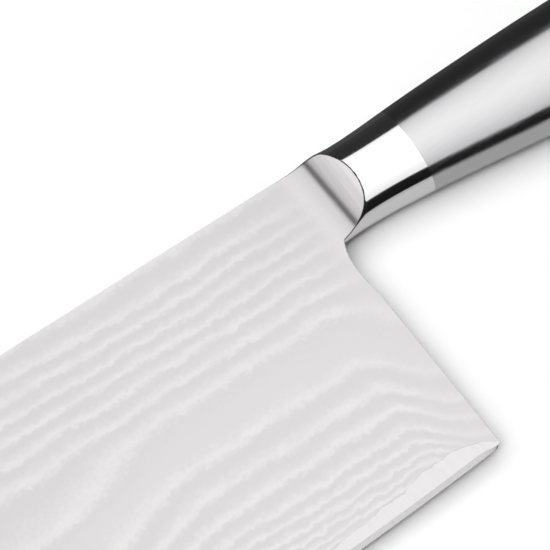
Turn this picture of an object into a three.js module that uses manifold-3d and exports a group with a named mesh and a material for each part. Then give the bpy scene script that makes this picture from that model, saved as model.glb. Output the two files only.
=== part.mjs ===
// All-steel vegetable cleaver: a laminated blade, a polished bolster and a hollow handle of two welded shells.
// Millimetres. x runs from the blade's front edge to the butt of the handle, y towards the spine, z out of the
// left face. While it is built, x = 0 is the heel, y = 0 the spine and z = 0 the middle plane of the blade.

import * as THREE from "three";
import { mergeVertices } from "three/addons/utils/BufferGeometryUtils.js";
import Module from "manifold-3d";

// Blade
const bladeLength = 178; // heel to front edge, along the spine
const heelHeight = 80.8; // spine to cutting edge at the heel
const heelLean = THREE.MathUtils.degToRad(2); // the foot of the heel stands back under the handle
const bellyRadius = 1100; // curve of the cutting edge
const bellyFromHeel = 72; // where the edge reaches lowest
const spineThickness = 2.2;
const coreThickness = 0.6; // hard plate in the middle
const claddingLip = 0.05; // thickness left on the cladding where the grind runs out
const bevelHeight = 1.3; // sharpened bevel
const bareCoreHeight = 3.3; // plain strip of core above the bevel
const toeRadius = 9; // corner of spine and front edge
const tipRadius = 2.5; // corner of front edge and cutting edge
const heelRadius = 0.9; // corner of heel and cutting edge
const choilDrop = 8; // height of the curve that leads the heel into the bolster

// Tang, which carries the blade's three plates into the bolster
const tangHeight = 13;
const tangInset = 3.6; // top of the tang below the spine
const pinDiameter = 3;
const pinSpacing = 7;
const pinInset = 0.4; // each end of a pin below the spigot's skin

// Bolster
const bolsterFront = 3; // behind the heel
const bolsterLength = 24.1;
const scoopRadius = 14; // hollow-ground face that runs down onto the blade
const scoopStart = -0.6; // where the hollow leaves the blade's face at the spine, behind the heel
const scoopSlant = THREE.MathUtils.degToRad(4.9); // the hollow starts farther back towards the belly
const neckFullness = 0.27; // how much wider the oval is above its middle, at the bolster's front
const spigotLength = 14; // the part of the bolster inside the shells

// Handle
const handleLength = 108; // bolster to butt
const shellWall = 1.2;
const capLength = 21; // solid butt, dome included
const domeLength = 9;
const domeShare = 0.985; // how much of a quarter turn the dome rounds before it ends flat
const capSpigotLength = 7;
const weightLength = 24;
const gripBehindRing = 23;
const swellBehindRing = 53; // thickest section, which fills the palm
const waistBehindRing = 81;

// Fits
const fitClearance = 0.15; // round a piece that slides into another
const jointGap = 0.05; // between faces that butt and are welded or brazed

// Oval sections that the template for bolster and handle passes through.
// at is the distance behind the bolster's front, top the height of the upper line above the spine.
const neck = { at: 0, top: 0.05, height: 20.4, thickness: 13.2 };
const ring = { at: bolsterLength, top: 1, height: 22.9, thickness: 16.8 };
const grip = { at: bolsterLength + gripBehindRing, top: 1.95, height: 26.7, thickness: 18.2 };
const swell = { at: bolsterLength + swellBehindRing, top: 2.5, height: 29.8, thickness: 19.6 };
const waist = { at: bolsterLength + waistBehindRing, top: 0.9, height: 28.2, thickness: 18.8 };
const butt = { at: bolsterLength + handleLength, top: -2.4, height: 28.6, thickness: 18.6 };
const template = [neck, ring, grip, swell, waist, butt];

// Smoothness of the faceted solids
const ovalSides = 48;
const stationPitch = 6; // between the sections of a lofted piece
const cornerSteps = 5;
const domeSteps = 7;
const pinSides = 24;
const scoopSides = 96;

// Sizes that follow from those above
const bolsterRear = bolsterFront + bolsterLength;
const buttEnd = bolsterRear + handleLength;
const capFront = buttEnd - capLength;
const spigotRear = bolsterRear + spigotLength;
const capSpigotFront = capFront - capSpigotLength;
const weightRear = capSpigotFront - jointGap;
const weightFront = weightRear - weightLength;
const bladeEnd = bolsterFront - jointGap;
const coreHalf = coreThickness / 2;
const spineHalf = spineThickness / 2;
const claddingLift = bevelHeight + bareCoreHeight;
const heelFootX = heelHeight * Math.tan(heelLean);
const bellyHalfSpan = bellyFromHeel + heelFootX;
const bellySag = bellyRadius - Math.sqrt(bellyRadius ** 2 - bellyHalfSpan ** 2);
const bellyDepth = heelHeight + bellySag;
const tangMiddle = -tangInset - tangHeight / 2;
const spigotMiddle = spigotRear - spigotLength / 2;
const pinPlaces = [spigotMiddle - pinSpacing / 2, spigotMiddle + pinSpacing / 2];

const wasm = await Module();
wasm.setup();

// Closed mesh to solid, for cutting and joining.
function solidOf(geometry) {
  const bare = geometry.clone();
  bare.deleteAttribute("normal");
  bare.deleteAttribute("uv");
  const merged = mergeVertices(bare);
  const vertProperties = new Float32Array(merged.getAttribute("position").array);
  const triVerts = new Uint32Array(merged.getIndex().array);
  return new wasm.Manifold(new wasm.Mesh({ numProp: 3, vertProperties, triVerts }));
}

// Solid back to a mesh that three.js can show.
function geometryOf(solid) {
  const mesh = solid.getMesh();
  const geometry = new THREE.BufferGeometry();
  geometry.setAttribute("position", new THREE.BufferAttribute(new Float32Array(mesh.vertProperties), 3));
  geometry.setIndex(new THREE.BufferAttribute(new Uint32Array(mesh.triVerts), 1));
  return geometry;
}

// Six times the volume inside a triangle mesh, negative where its faces point inwards.
function signedVolume(points, index) {
  let volume = 0;
  for (let i = 0; i < index.length; i += 3) {
    const [a, b, c] = [points[index[i]], points[index[i + 1]], points[index[i + 2]]];
    volume += a.dot(new THREE.Vector3().crossVectors(b, c));
  }
  return volume;
}

// Skins a row of closed loops with equal point counts and closes both ends.
// flatten lays a point of an end loop down on the plane of that loop.
function loft(loops, flatten) {
  const count = loops[0].length;
  const points = loops.flat();
  const index = [];
  for (let row = 0; row + 1 < loops.length; row += 1) {
    for (let k = 0; k < count; k += 1) {
      const here = row * count + k;
      const next = row * count + ((k + 1) % count);
      index.push(here, next, next + count, here, next + count, here + count);
    }
  }
  const firstLoop = loops[0].map(flatten);
  const turn = Math.sign(THREE.ShapeUtils.area(firstLoop));
  const lastRow = points.length - count;
  for (const [i, j, k] of THREE.ShapeUtils.triangulateShape(firstLoop, [])) {
    const sameTurn = Math.sign(THREE.ShapeUtils.area([firstLoop[i], firstLoop[j], firstLoop[k]])) === turn;
    const [second, third] = sameTurn ? [j, k] : [k, j];
    index.push(i, third, second);
    index.push(lastRow + i, lastRow + second, lastRow + third);
  }
  if (signedVolume(points, index) < 0) {
    index.reverse();
  }
  const geometry = new THREE.BufferGeometry().setFromPoints(points);
  geometry.setIndex(index);
  return geometry;
}

const ontoFace = (point) => new THREE.Vector2(point.x, point.y);
const ontoSection = (point) => new THREE.Vector2(point.y, point.z);

// Natural cubic spline of one template value over the distance from the heel.
function templateLine(value) {
  const xs = template.map((section) => bolsterFront + section.at);
  const ys = template.map((section) => section[value]);
  const last = xs.length - 1;
  const bend = xs.map(() => 0);
  const weight = xs.map(() => 0);
  for (let i = 1; i < last; i += 1) {
    const before = xs[i] - xs[i - 1];
    const after = xs[i + 1] - xs[i];
    const slopeChange = (ys[i + 1] - ys[i]) / after - (ys[i] - ys[i - 1]) / before;
    const pivot = 2 * (before + after) - before * weight[i - 1];
    weight[i] = after / pivot;
    bend[i] = (6 * slopeChange - before * bend[i - 1]) / pivot;
  }
  for (let i = last - 1; i > 0; i -= 1) {
    bend[i] -= weight[i] * bend[i + 1];
  }
  return (x) => {
    const right = Math.max(1, xs.findIndex((edge) => x <= edge));
    const left = right - 1;
    const span = xs[right] - xs[left];
    const a = (xs[right] - x) / span;
    const b = (x - xs[left]) / span;
    const curve = ((a ** 3 - a) * bend[left] + (b ** 3 - b) * bend[right]) * span ** 2 / 6;
    return a * ys[left] + b * ys[right] + curve;
  };
}

const topAt = templateLine("top");
const heightAt = templateLine("height");
const thicknessAt = templateLine("thickness");

// How far the rounded butt has drawn a section in, from 1 at the start of the dome to 0 at its end.
function domeScale(x) {
  const intoDome = Math.max(0, (x - (buttEnd - domeLength)) / domeLength);
  return Math.sqrt(Math.max(0, 1 - intoDome ** 2));
}

// How much wider the oval is above its middle, fading out at the bolster's rear.
function fullnessAt(x) {
  return neckFullness * Math.max(0, (bolsterRear - x) / bolsterLength);
}

// One point of the oval at x, inset from the outer skin. Angle 0 is the top line, a quarter turn the left side.
function ovalPoint(x, angle, inset) {
  const middle = topAt(x) - heightAt(x) / 2;
  const scale = domeScale(x);
  const up = (heightAt(x) / 2 - inset) * scale;
  const out = (thicknessAt(x) / 2 - inset) * scale;
  const wider = 1 + fullnessAt(x) * Math.cos(angle);
  return new THREE.Vector3(x, middle + up * Math.cos(angle), out * wider * Math.sin(angle));
}

// Distances from one end of a lofted piece to the other, about a station pitch apart.
function stationsBetween(from, to) {
  const steps = Math.ceil((to - from) / stationPitch);
  return Array.from({ length: steps + 1 }, (_, i) => from + (to - from) * i / steps);
}

// Distances along the butt: straight stretch, then closer and closer to the end of the dome.
function buttStations() {
  const domeStart = buttEnd - domeLength;
  const dome = Array.from({ length: domeSteps }, (_, i) => {
    const turned = Math.PI / 2 * domeShare * (i + 1) / domeSteps;
    return domeStart + domeLength * Math.sin(turned);
  });
  return [...stationsBetween(capFront, domeStart), ...dome];
}

// Solid oval bar through the given distances.
function ovalBar(distances, inset) {
  const angles = Array.from({ length: ovalSides }, (_, i) => 2 * Math.PI * i / ovalSides);
  return loft(distances.map((x) => angles.map((angle) => ovalPoint(x, angle, inset))), ontoSection);
}

// Height of the cutting edge at x, raised square to the edge by lift.
function edgeY(x, lift) {
  return bellyRadius - bellyDepth - Math.sqrt((bellyRadius - lift) ** 2 - (x + bellyFromHeel) ** 2);
}

// Foot of the heel, where its leaning line meets the edge that is raised by lift.
function heelFoot(lift) {
  const heelLine = new THREE.Vector2(Math.sin(heelLean), -Math.cos(heelLean));
  const arcMiddle = new THREE.Vector2(-bellyFromHeel, bellyRadius - bellyDepth);
  const along = heelLine.dot(arcMiddle);
  const down = along + Math.sqrt(along ** 2 - arcMiddle.lengthSq() + (bellyRadius - lift) ** 2);
  return heelLine.multiplyScalar(down);
}

// Draws the line to a corner and the round over it.
function roundCorner(shape, from, corner, to, radius) {
  const before = corner.clone().add(from.clone().sub(corner).setLength(radius));
  const after = corner.clone().add(to.clone().sub(corner).setLength(radius));
  shape.lineTo(before.x, before.y);
  shape.quadraticCurveTo(corner.x, corner.y, after.x, after.y);
}

// Outline of a blade plate with its tang, as points; lift raises the lower border above the cutting edge.
function plateOutline(lift) {
  const neckLow = topAt(bolsterFront) - heightAt(bolsterFront);
  const tangTop = -tangInset;
  const tangLow = tangTop - tangHeight;
  const toe = new THREE.Vector2(-bladeLength, 0);
  const tip = new THREE.Vector2(-bladeLength, edgeY(-bladeLength, lift));
  const foot = heelFoot(lift);
  const onEdge = (x) => new THREE.Vector2(x, edgeY(x, lift));
  const onHeel = (y) => new THREE.Vector2(-y * Math.tan(heelLean), y);
  const spineEnd = new THREE.Vector2(bladeEnd, 0);
  const edgeStart = -bladeLength + tipRadius;
  const edgeEnd = foot.x - heelRadius;
  const shape = new THREE.Shape();
  shape.moveTo(spineEnd.x, spineEnd.y);
  roundCorner(shape, spineEnd, toe, tip, toeRadius);
  roundCorner(shape, toe, tip, onEdge(edgeStart), tipRadius);
  const arcRadius = bellyRadius - lift;
  const arcAngle = (x) => -Math.PI / 2 + Math.asin((x + bellyFromHeel) / arcRadius);
  const arcMiddleY = bellyRadius - bellyDepth;
  shape.absarc(-bellyFromHeel, arcMiddleY, arcRadius, arcAngle(edgeStart), arcAngle(edgeEnd), false);
  roundCorner(shape, onEdge(edgeEnd), foot, onHeel(neckLow), heelRadius);
  const choilFoot = onHeel(neckLow - choilDrop);
  const choilTurn = onHeel(neckLow - choilDrop / 2);
  shape.lineTo(choilFoot.x, choilFoot.y);
  shape.quadraticCurveTo(choilTurn.x, choilTurn.y, bladeEnd, neckLow);
  shape.lineTo(bladeEnd, tangLow);
  shape.lineTo(spigotRear, tangLow);
  shape.lineTo(spigotRear, tangTop);
  shape.lineTo(bladeEnd, tangTop);
  return shape.getPoints(cornerSteps);
}

// Half thickness of the flat-ground blade at a height below the spine.
function grindAt(y) {
  const depth = bellyDepth - claddingLift;
  return spineHalf + (spineHalf - coreHalf - claddingLip) * y / depth;
}

// Round bar square to the blade through the middle of the tang.
function pinBar(x, diameter, length) {
  const bar = new THREE.CylinderGeometry(diameter / 2, diameter / 2, length, pinSides);
  return bar.rotateX(Math.PI / 2).translate(x, tangMiddle, 0);
}

// Cuts the two pin holes through a piece.
function drillPinHoles(solid) {
  const holeDiameter = pinDiameter + 2 * fitClearance;
  const holes = pinPlaces.map((x) => solidOf(pinBar(x, holeDiameter, 2 * ring.thickness)));
  return holes.reduce((piece, hole) => piece.subtract(hole), solid);
}

// Hard core: a flat plate whose lower border is sharpened from both sides.
function cuttingCore() {
  const bevelTop = plateOutline(bevelHeight);
  const sharp = plateOutline(0);
  const loops = [
    bevelTop.map((point) => new THREE.Vector3(point.x, point.y, -coreHalf)),
    sharp.map((point) => new THREE.Vector3(point.x, point.y, 0)),
    bevelTop.map((point) => new THREE.Vector3(point.x, point.y, coreHalf)),
  ];
  return geometryOf(drillPinHoles(solidOf(loft(loops, ontoFace))));
}

// Layered plate on one face of the core; side is 1 for the left face and -1 for the right.
function cladding(side) {
  const outline = plateOutline(claddingLift);
  const loops = [
    outline.map((point) => new THREE.Vector3(point.x, point.y, side * coreHalf)),
    outline.map((point) => new THREE.Vector3(point.x, point.y, side * grindAt(point.y))),
  ];
  return geometryOf(drillPinHoles(solidOf(loft(loops, ontoFace))));
}

// Bolster: oval collar, hollow-ground on both sides, slotted for the tang, with a spigot for the shells.
function bolster() {
  const collar = solidOf(ovalBar(stationsBetween(bolsterFront, bolsterRear), 0));
  const spigotRoot = bolsterRear - stationPitch;
  const spigot = solidOf(ovalBar(stationsBetween(spigotRoot, spigotRear), shellWall + fitClearance));
  const scoopLength = 4 * heightAt(bolsterFront); // reaches well past the collar, above and below
  const scoop = new THREE.CylinderGeometry(scoopRadius, scoopRadius, scoopLength, scoopSides);
  scoop.rotateZ(scoopSlant).translate(scoopStart, 0, 0);
  const rise = spineHalf + scoopRadius;
  const leftScoop = solidOf(scoop.clone().translate(0, 0, rise));
  const rightScoop = solidOf(scoop.clone().translate(0, 0, -rise));
  const slotLength = 2 * (spigotRear - bolsterFront);
  const slotHeight = tangHeight + 2 * fitClearance;
  const slot = new THREE.BoxGeometry(slotLength, slotHeight, spineThickness + 2 * fitClearance);
  slot.translate((bolsterFront + spigotRear) / 2, tangMiddle, 0);
  const body = collar.subtract(leftScoop).subtract(rightScoop).add(spigot).subtract(solidOf(slot));
  return geometryOf(drillPinHoles(body));
}

// Pin that locks the tang in the spigot, its ends just below the spigot's skin.
function tangPin(x) {
  const length = thicknessAt(x) - 2 * (shellWall + fitClearance + pinInset);
  return pinBar(x, pinDiameter, length);
}

// Pressed half shell from the bolster to the butt; side is 1 for the left half and -1 for the right.
function handleShell(side) {
  const halfSides = ovalSides / 2;
  const angles = Array.from({ length: halfSides + 1 }, (_, i) => side * Math.PI * i / halfSides);
  const backwards = [...angles].reverse();
  const distances = stationsBetween(bolsterRear + jointGap, capFront - jointGap);
  const loops = distances.map((x) => [
    ...angles.map((angle) => ovalPoint(x, angle, 0)),
    ...backwards.map((angle) => ovalPoint(x, angle, shellWall)),
  ]);
  for (const point of loops.flat()) {
    point.z = Math.abs(point.z) < jointGap ? 0 : point.z;
  }
  return loft(loops, ontoSection);
}

// Steel slug that balances the tall blade, seated against the butt's spigot.
function counterweight() {
  return ovalBar(stationsBetween(weightFront, weightRear), shellWall + fitClearance);
}

// Solid rounded butt with the spigot that closes the shells.
function buttCap() {
  const body = solidOf(ovalBar(buttStations(), 0));
  const spigotStations = stationsBetween(capSpigotFront, capFront + stationPitch);
  const spigot = solidOf(ovalBar(spigotStations, shellWall + fitClearance));
  return geometryOf(body.add(spigot));
}

const cleaver = new THREE.Group();

// Adds one named piece of steel with its own finish.
function addPiece(name, geometry, color, roughness) {
  const mesh = new THREE.Mesh(geometry, new THREE.MeshStandardMaterial({ color, roughness, metalness: 1 }));
  mesh.name = name;
  cleaver.add(mesh);
}

addPiece("cutting_core", cuttingCore(), 0xdedddd, 0.3);
addPiece("left_cladding", cladding(1), 0xc4c2c3, 0.42);
addPiece("right_cladding", cladding(-1), 0xc4c2c3, 0.42);
addPiece("bolster", bolster(), 0xe6e5e6, 0.06);
addPiece("tang_pin_front", tangPin(pinPlaces[0]), 0xb9b9bb, 0.35);
addPiece("tang_pin_rear", tangPin(pinPlaces[1]), 0xb9b9bb, 0.35);
addPiece("left_handle_shell", handleShell(1), 0xd6d5d6, 0.28);
addPiece("right_handle_shell", handleShell(-1), 0xd6d5d6, 0.28);
addPiece("counterweight", counterweight(), 0x8e8e92, 0.5);
addPiece("butt_cap", buttCap(), 0xd6d5d6, 0.28);

// The origin goes to the middle of the footprint, at the height of the lowest point of the handle.
const bounds = new THREE.Box3().setFromObject(cleaver);
const centre = bounds.getCenter(new THREE.Vector3());
cleaver.position.set(-centre.x, -centre.y, -bounds.min.z);

export default cleaver;
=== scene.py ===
"""Looks of an all-steel vegetable cleaver: fine meshes over its solids, finishes, a small studio, a camera.

Shapes are worked out in knife millimetres: x = 0 is the heel and x grows towards the butt, y = 0 is the
spine and y falls towards the cutting edge, z = 0 is the middle plane of the blade and +z its left face,
which lies up.
"""

import logging
import math
from dataclasses import dataclass, field
from enum import Enum
from typing import Callable, Iterable, Optional, Union

import bmesh
import bpy
import numpy as np
from mathutils import Matrix, Vector


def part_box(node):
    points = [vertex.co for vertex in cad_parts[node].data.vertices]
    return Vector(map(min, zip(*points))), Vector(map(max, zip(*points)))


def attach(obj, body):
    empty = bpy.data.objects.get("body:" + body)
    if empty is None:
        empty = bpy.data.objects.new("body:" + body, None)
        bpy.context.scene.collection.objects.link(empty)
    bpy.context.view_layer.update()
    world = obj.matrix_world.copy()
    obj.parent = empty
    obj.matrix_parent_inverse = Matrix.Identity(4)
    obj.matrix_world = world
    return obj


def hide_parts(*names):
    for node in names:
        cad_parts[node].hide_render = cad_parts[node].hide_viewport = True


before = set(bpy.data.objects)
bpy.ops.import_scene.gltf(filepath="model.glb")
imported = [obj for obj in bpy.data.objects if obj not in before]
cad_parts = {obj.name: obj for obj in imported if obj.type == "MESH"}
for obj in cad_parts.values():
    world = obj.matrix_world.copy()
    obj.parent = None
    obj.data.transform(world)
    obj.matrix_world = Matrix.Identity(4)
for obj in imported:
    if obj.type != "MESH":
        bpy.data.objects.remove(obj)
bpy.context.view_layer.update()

MM = 0.001
TINY = 1e-12
BODY = "root"
LOG = logging.getLogger("cleaver")

Array = np.ndarray
Key = Union[int, str]
Socket = bpy.types.NodeSocket
Tree = bpy.types.NodeTree

# Paired inputs of a node, and settings that several nodes share.
FROM = ("From Min", "From Max")
TO = ("To Min", "To Max")
SMOOTH = {"interpolation_type": "SMOOTHSTEP"}
COLOURS = {"out": "Result", "data_type": "RGBA"}
# Most values of a noise texture lie in this span, on both sides of this middle.
NOISE_SPAN = (0.3, 0.7)
NOISE_MIDDLE = 0.5


class Rub(Enum):
    """Ways that steel is rubbed, with True for each axis along which its hairlines are narrow."""

    ALONG_KNIFE = (False, True, True)
    DOWN_BLADE = (True, False, True)
    ROUND_AXIS = (True, False, False)


class Side(Enum):
    """The two faces of the knife. The left one lies up."""

    LEFT = 1
    RIGHT = -1

    @property
    def word(self) -> str:
        """The side as the names of pieces hold it."""
        return self.name.lower()


def linear(hex_colour: str) -> tuple:
    """Turns an sRGB colour, such as "#c8c7c8", to linear red, green and blue, and full alpha."""
    channels = [int(hex_colour[start:start + 2], 16) / 255 for start in (1, 3, 5)]
    return tuple(c / 12.92 if c <= 0.04045 else ((c + 0.055) / 1.055) ** 2.4 for c in channels) + (1.0,)


def add(tree: Tree, kind: str, inputs: dict, out: Key = 0, **settings: object) -> Optional[Socket]:
    """Adds one node with its settings and links.

    Args:
        tree: The node tree that takes the node.
        kind: The node's type, without the words ShaderNode.
        inputs: Each input's name or place, and its value or the socket that feeds it. A tuple of names
            takes a tuple of values.
        out: Name or place of the output that is wanted.
        **settings: The node's own properties.

    Returns:
        That output, or None from a node that has none.
    """
    node = tree.nodes.new("ShaderNode" + kind)
    for name, value in settings.items():
        setattr(node, name, value)
    for keys, values in inputs.items():
        for key, value in zip(keys, values) if isinstance(keys, tuple) else [(keys, values)]:
            if isinstance(value, Socket):
                tree.links.new(value, node.inputs[key])
            else:
                node.inputs[key].default_value = value
    return node.outputs[out] if len(node.outputs) else None


def empty_tree(owner: Union[bpy.types.Material, bpy.types.Light, bpy.types.World]) -> Tree:
    """Gives a material, a lamp or the world an empty node tree.

    Args:
        owner: What the tree belongs to.

    Returns:
        The tree.
    """
    owner.use_nodes = True
    owner.node_tree.nodes.clear()
    return owner.node_tree


def show(name: str, data: bpy.types.ID) -> bpy.types.Object:
    """Makes an object and links it to the scene.

    Args:
        name: The object's name.
        data: Its mesh, lamp or camera.

    Returns:
        The object.
    """
    made = bpy.data.objects.new(name, data)
    bpy.context.scene.collection.objects.link(made)
    return made


@dataclass(frozen=True)
class KnifeFrame:
    """Where the knife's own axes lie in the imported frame, in metres."""

    heel_x: float
    spine_y: float
    middle_z: float

    @classmethod
    def from_core(cls, blade_length: float) -> "KnifeFrame":
        """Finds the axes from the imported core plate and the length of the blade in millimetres."""
        low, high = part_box("cutting_core")
        return cls(low.x + blade_length * MM, high.y, (low.z + high.z) / 2)

    @property
    def origin(self) -> Array:
        """The heel end of the spine on the middle plane, in metres."""
        return np.array([self.heel_x, self.spine_y, self.middle_z])

    def place(self, points: Array) -> Array:
        """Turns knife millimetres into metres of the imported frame."""
        return np.asarray(points, float) * MM + self.origin


class Skin:
    """Gathers the points, normals and faces of one closed mesh, in knife millimetres."""

    def __init__(self) -> None:
        """Starts with nothing."""
        self.points: list[Array] = []
        self.normals: list[Array] = []
        self.faces: list[tuple] = []
        self.smooth: list[bool] = []
        self.slots: list[int] = []
        self.count = 0

    def add_points(self, points: Array, normals: Optional[Array] = None) -> Array:
        """Adds an array of points.

        Args:
            points: Their places, with x, y and z along the last axis.
            normals: Their normals, where a smooth face will use them.

        Returns:
            Their numbers, in an array of the same form.
        """
        flat = points.reshape(-1, 3)
        self.points.append(flat)
        self.normals.append(np.zeros_like(flat) if normals is None else normals.reshape(-1, 3))
        numbers = np.arange(self.count, self.count + len(flat)).reshape(points.shape[:-1])
        self.count += len(flat)
        return numbers

    def add_face(self, numbers: Iterable, smooth: bool = False, slot: int = 0) -> None:
        """Adds one face.

        Args:
            numbers: Its point numbers in order.
            smooth: Whether it uses the points' normals.
            slot: Its material place.
        """
        self.faces.append(tuple(int(number) for number in numbers))
        self.smooth.append(smooth)
        self.slots.append(slot)

    def add_quads(self, grid: Array, closed: bool, smooth: bool = True,
                  slots: Optional[Array] = None) -> None:
        """Skins a grid of point numbers.

        Args:
            grid: Point numbers, row by row.
            closed: Whether each row closes on itself.
            smooth: Whether the faces use the points' normals.
            slots: Material place of each face, row by row; 0 where it isn't given.
        """
        rows, columns = grid.shape
        for row in range(rows - 1):
            near, far = grid[row], grid[row + 1]
            for column in range(columns if closed else columns - 1):
                after = (column + 1) % columns
                slot = 0 if slots is None else int(slots[row, column])
                self.add_face((near[column], near[after], far[after], far[column]), smooth, slot)

    def add_even_cap(self, loop: Array, slot: int = 0) -> None:
        """Closes a loop that is even about its first point with flat strips across it.

        Args:
            loop: Point numbers round the loop.
            slot: Material place of the strips.
        """
        half = len(loop) // 2
        strips = np.stack([loop[1:half], loop[:half:-1]], axis=1)
        self.add_quads(strips, closed=False, smooth=False, slots=np.full(strips.shape, slot))
        self.add_face((loop[0], *strips[0]), slot=slot)
        self.add_face((loop[half], *strips[-1]), slot=slot)

    def make(self, name: str, knife: KnifeFrame, materials: list) -> bpy.types.Object:
        """Makes the object and sets its normals.

        Args:
            name: The piece's name.
            knife: The knife's axes.
            materials: Its materials, by place.

        Returns:
            The new object, linked to the scene.
        """
        mesh = bpy.data.meshes.new(name)
        mesh.from_pydata(knife.place(np.vstack(self.points)).tolist(), [], self.faces)
        turned = bmesh.new()
        turned.from_mesh(mesh)
        bmesh.ops.recalc_face_normals(turned, faces=turned.faces)
        turned.to_mesh(mesh)
        turned.free()
        for material in materials:
            mesh.materials.append(material)
        mesh.polygons.foreach_set("material_index", self.slots)
        mesh.polygons.foreach_set("use_smooth", [True] * len(self.faces))
        normals = np.vstack(self.normals)
        by_corner = []
        for face, smooth in zip(mesh.polygons, self.smooth):
            flat = tuple(face.normal)
            by_corner.extend(tuple(normals[v]) if smooth else flat for v in face.vertices)
        mesh.normals_split_custom_set(by_corner)
        return show(name, mesh)


def grid_normals(points: Array) -> Array:
    """Works out smooth normals of closed rings of points, pointing away from the rings' own axis.

    Args:
        points: Rows of points along the piece, columns round it.

    Returns:
        Unit normals, one for each point.
    """
    along = np.gradient(points, axis=0)
    around = np.roll(points, -1, axis=1) - np.roll(points, 1, axis=1)
    normals = np.cross(along, around)
    normals /= np.maximum(np.linalg.norm(normals, axis=-1, keepdims=True), TINY)
    outwards = points - points.mean(axis=1, keepdims=True)
    return normals * np.sign(np.sum(normals * outwards))


def soft_min(first: Array, second: Array, blend: Array) -> Array:
    """Takes the lesser of two heights, and rounds the crease where they meet as far as blend says."""
    share = np.clip(0.5 + 0.5 * (second - first) / blend, 0, 1)
    return second + (first - second) * share - blend * share * (1 - share)


def smooth_step(value: Array, start: float, end: float) -> Array:
    """Rises smoothly from 0 at start to 1 at end."""
    share = np.clip((value - start) / (end - start), 0, 1)
    return share ** 2 * (3 - 2 * share)


def turned_curve(start: Array, turn: Array, end: Array, share: Array) -> Array:
    """Gives points, at shares from 0 to 1, of the curve that leaves start towards turn and ends at end."""
    share = share[:, None]
    return (1 - share) ** 2 * start + 2 * share * (1 - share) * turn + share ** 2 * end


def natural_spline(stations: Array, values: Array, where: Array) -> Array:
    """Runs a natural cubic spline through values at stations.

    Args:
        stations: Rising distances.
        values: The value at each.
        where: Distances to read it at, held to the first and last station.

    Returns:
        The values there.
    """
    gaps = np.diff(stations)
    size = len(stations)
    system = np.eye(size)
    change = np.zeros(size)
    for i in range(1, size - 1):
        before, after = gaps[i - 1], gaps[i]
        system[i, i - 1:i + 2] = before, 2 * (before + after), after
        change[i] = 6 * ((values[i + 1] - values[i]) / after - (values[i] - values[i - 1]) / before)
    bend = np.linalg.solve(system, change)
    held = np.clip(where, stations[0], stations[-1])
    left = np.clip(np.searchsorted(stations, held) - 1, 0, size - 2)
    a = (stations[left + 1] - held) / gaps[left]
    b = 1 - a
    curve = ((a ** 3 - a) * bend[left] + (b ** 3 - b) * bend[left + 1]) * gaps[left] ** 2 / 6
    return a * values[left] + b * values[left + 1] + curve


@dataclass(frozen=True)
class Finish:
    """A steel surface: its material and process, its colour and how far it scatters a reflection.

    Sizes of patterns are in millimetres.
    """

    name: str
    colour: str
    roughness: float

    def sockets(self, tree: Tree, place: Socket) -> dict:
        """Gives the shader inputs that make this finish."""
        raise NotImplementedError

    def grains(self, tree: Tree, place: Socket, sizes: Iterable, detail: float, fray: float = 0.5) -> Socket:
        """Draws noise with grains of the given sizes along x, y and z, and finer grains on them."""
        stretched = add(tree, "VectorMath", {0: place, 1: tuple(1 / size for size in sizes)},
                        operation="MULTIPLY")
        return add(tree, "TexNoise", {"Vector": stretched, "Scale": 1.0, "Detail": detail, "Roughness": fray})

    def rubbed(self, tree: Tree, height: Socket, spread: float, relief: float) -> dict:
        """Lets a pattern vary the roughness and lift the surface.

        Args:
            tree: The material's node tree.
            height: The pattern.
            spread: How far the roughness goes up and down.
            relief: How high the pattern stands.

        Returns:
            The shader's inputs by name.
        """
        ends = (self.roughness - spread, self.roughness + spread)
        rough = add(tree, "MapRange", {"Value": height, FROM: NOISE_SPAN, TO: ends})
        normal = add(tree, "Bump", {"Height": height, "Strength": 1.0, "Distance": relief * MM})
        return {"Base Color": linear(self.colour), "Roughness": rough, "Normal": normal}

    def material(self, knife: KnifeFrame) -> bpy.types.Material:
        """Makes the material.

        Args:
            knife: The knife's axes, which its patterns are measured from.

        Returns:
            The new material.
        """
        made = bpy.data.materials.new(self.name)
        tree = empty_tree(made)
        metres = add(tree, "TexCoord", {}, out="Object")
        shifted = add(tree, "VectorMath", {0: metres, 1: tuple(knife.origin)}, operation="SUBTRACT")
        place = add(tree, "VectorMath", {0: shifted, "Scale": 1 / MM}, operation="SCALE")
        shader = add(tree, "BsdfPrincipled", {"Metallic": 1.0, **self.sockets(tree, place)})
        add(tree, "OutputMaterial", {"Surface": shader})
        return made


@dataclass(frozen=True)
class BrushedSteel(Finish):
    """Stainless steel rubbed with a belt or wheel in one direction.

    Long hairlines run along the rub, so the reflection smears across them and the sheen is faintly streaked.
    Real hairlines are about 0.05 mm wide. They are drawn coarser, at about a pixel and a half, to show.
    """

    rub: Rub = Rub.ALONG_KNIFE
    hairline_width: float = 0.35
    hairline_length: float = 9.0
    detail: float = 3.0
    fray: float = 0.6
    relief: float = 0.004
    streak: float = 0.05

    def sockets(self, tree: Tree, place: Socket) -> dict:
        """Streaks the roughness and the relief along the rub."""
        sizes = (self.hairline_width if narrow else self.hairline_length for narrow in self.rub.value)
        return self.rubbed(tree, self.grains(tree, place, sizes, self.detail, self.fray),
                           self.streak, self.relief)


@dataclass(frozen=True)
class MirrorSteel(Finish):
    """Stainless steel buffed to a mirror on a cloth wheel.

    The reflection is sharp and only sways a little, where the wheel rode over the round form.
    """

    sway_size: float = 11.0
    sway_depth: float = 0.004
    detail: float = 1.0
    haze: float = 0.024

    def sockets(self, tree: Tree, place: Socket) -> dict:
        """Sways the normals a little and hazes the mirror in patches."""
        sway = self.grains(tree, place, (self.sway_size,) * 3, self.detail)
        return self.rubbed(tree, sway, self.haze, self.sway_depth)


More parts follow.
